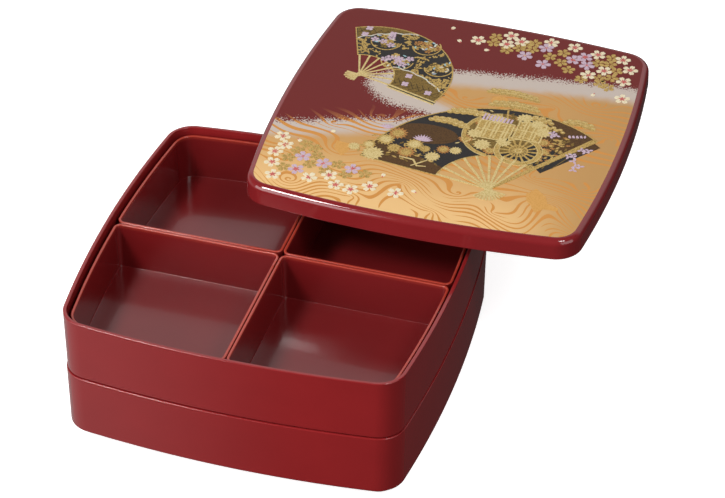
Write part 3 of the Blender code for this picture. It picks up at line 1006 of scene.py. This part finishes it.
def makeLidPrint():
    ink = mistAndWaterPrint()
    for place, (sideU, sideV) in quarters.items():
        finishPrint(makePrintQuarter("print_ground_" + place, sideU, sideV), ink)
    dice = np.random.default_rng(11)
    scatterChips()
    makeSmallFan(dice)
    makeLargeFan(dice)
    scatterBlossoms()
    centre = lidFrame()
    half = printPlan["sheet"] * 0.5
    base = centre[2] - lidShape["topStep"] + half
    for powder, store in powders.items():
        points = np.vstack(store["points"])
        points[:, 2] = base + points[:, 2] * (powderLook[powder][2] + half)
        points[:, :2] += centre[:2]
        finish = sprinkledPowder("sprinkled" + powder[0].upper() + powder[1:], powderLook[powder])
        finishPrint(meshObject("print_" + powder, points * mm, store["faces"], 20), finish)
        print("print", powder, len(store["faces"]), "faces")


makeLidPrint()

studio = {
    "floorColour": "#ffffff", "floorGlow": 0.75, "floorHalf": 12.0, "floorDrop": 0.0002,    # m
    "colours": {"sky": "#ffffff", "frontSky": "#5c5c5c", "low": "#3a3a3a", "lowLeft": "#bcbcbc"},
    # where each change of the surroundings starts and ends, as the z, the x and the y of the direction
    "toSky": (-0.05, 0.45), "toLeft": (-0.12, -0.5), "toBack": (0.36, 0.74), "worldStrength": 0.85,
    "target": (17.9, 125.1, 5.3), "distance": 2120.0,     # mm
    "azimuth": 16.74, "elevation": 37.73, "roll": 0.29,   # degrees
    "lens": 150.0,
}

# place, target and size in m, and power in W
studioLights = {
    "key_softbox": ((-0.84, -1.12, 1.56), (-0.04, 0.02, 0.1), (0.46, 0.44), 26),
    "corner_softbox": ((1.05, -0.75, 1.6), (0.18, 0.03, 0.12), (0.5, 0.5), 10),
    "front_fill": ((-2.15, -2.45, 1.0), (-0.05, 0, 0.05), (3.0, 2.0), 69),
    "right_fill": ((2.3, -1.2, 0.7), (0, 0, 0.05), (2.2, 1.6), 20),
}


def makeFloor():
    # a wide level sheet just under the object
    steps = np.linspace(-studio["floorHalf"], studio["floorHalf"], 9)
    x, y = np.meshgrid(steps, steps, indexing="ij")
    points = np.stack([x, y, np.full_like(x, -studio["floorDrop"])], axis=-1)
    index = np.arange(x.size).reshape(x.shape)
    floor = meshObject("studio_floor", points, gridQuads(index))
    material, tree, shader = newMaterial("mattPaperFloor")
    white = hexToLinear(studio["floorColour"])
    feed(tree, shader, Base_Color=white, Roughness=0.9,
         Emission_Color=white, Emission_Strength=studio["floorGlow"])
    floor.data.materials.append(material)
    floor.visible_glossy = False      # the walls reflect the dim room, not the sweep of paper
    floor.visible_diffuse = False


def areaLight(name, place, target, size, power):
    data = bpy.data.lights.new(name, "AREA")
    data.shape = "RECTANGLE"
    data.size, data.size_y = size
    data.energy = power
    light = bpy.data.objects.new(name, data)
    light.location = place
    light.rotation_euler = (Vector(target) - Vector(place)).to_track_quat("-Z", "Y").to_euler()
    bpy.context.scene.collection.objects.link(light)


def makeCamera():
    s = studio
    azimuth, elevation = math.radians(s["azimuth"]), math.radians(s["elevation"])
    flat = math.cos(elevation)
    outward = Vector((math.sin(azimuth) * flat, -math.cos(azimuth) * flat, math.sin(elevation)))
    data = bpy.data.cameras.new("camera")
    data.lens = s["lens"]
    data.sensor_width = 36
    data.clip_end = 100
    camera = bpy.data.objects.new("camera", data)
    look = (-outward).to_track_quat("-Z", "Y").to_matrix() @ Matrix.Rotation(math.radians(s["roll"]), 3, "Z")
    place = Vector(s["target"]) * mm + outward * s["distance"] * mm
    camera.matrix_world = Matrix.Translation(place) @ look.to_4x4()
    bpy.context.scene.collection.objects.link(camera)
    bpy.context.scene.camera = camera


def makeWorld():
    # white over and behind the object, grey over its front, and a dim room near and below the horizon,
    # lighter on the left; straight views see white
    s = studio
    world = bpy.data.worlds.new("studioWorld")
    world.use_nodes = True
    tree = world.node_tree
    direction = addNode(tree, "ShaderNodeTexCoord").outputs["Generated"]
    part = addNode(tree, "ShaderNodeSeparateXYZ", Vector=direction).outputs
    share = {}
    for name, axis in (("toSky", "Z"), ("toLeft", "X"), ("toBack", "Y")):
        share[name] = addNode(tree, "ShaderNodeMapRange", softRange, Value=part[axis],
                              From_Min=s[name][0], From_Max=s[name][1]).outputs[0]
    cameraRay = addNode(tree, "ShaderNodeLightPath").outputs["Is Camera Ray"]
    for name in ("toSky", "toBack"):
        shown = addNode(tree, "ShaderNodeMath", {"operation": "MAXIMUM"}, i0=share[name], i1=cameraRay)
        share[name] = shown.outputs[0]
    made = {name: hexToLinear(code) for name, code in s["colours"].items()}
    for name, part, under, over in (("low", "toLeft", "low", "lowLeft"), ("sky", "toBack", "frontSky", "sky"),
                                    ("all", "toSky", "low", "sky")):
        made[name] = addNode(tree, "ShaderNodeMix", colourMix, i0=share[part],
                             i6=made[under], i7=made[over]).outputs[2]
    feed(tree, tree.nodes["Background"], Color=made["all"], Strength=s["worldStrength"])
    bpy.context.scene.world = world


makeFloor()
makeCamera()
makeWorld()
for name, light in studioLights.items():
    areaLight(name, *light)
bpy.context.scene.view_settings.view_transform = "Standard"
print("studio made")
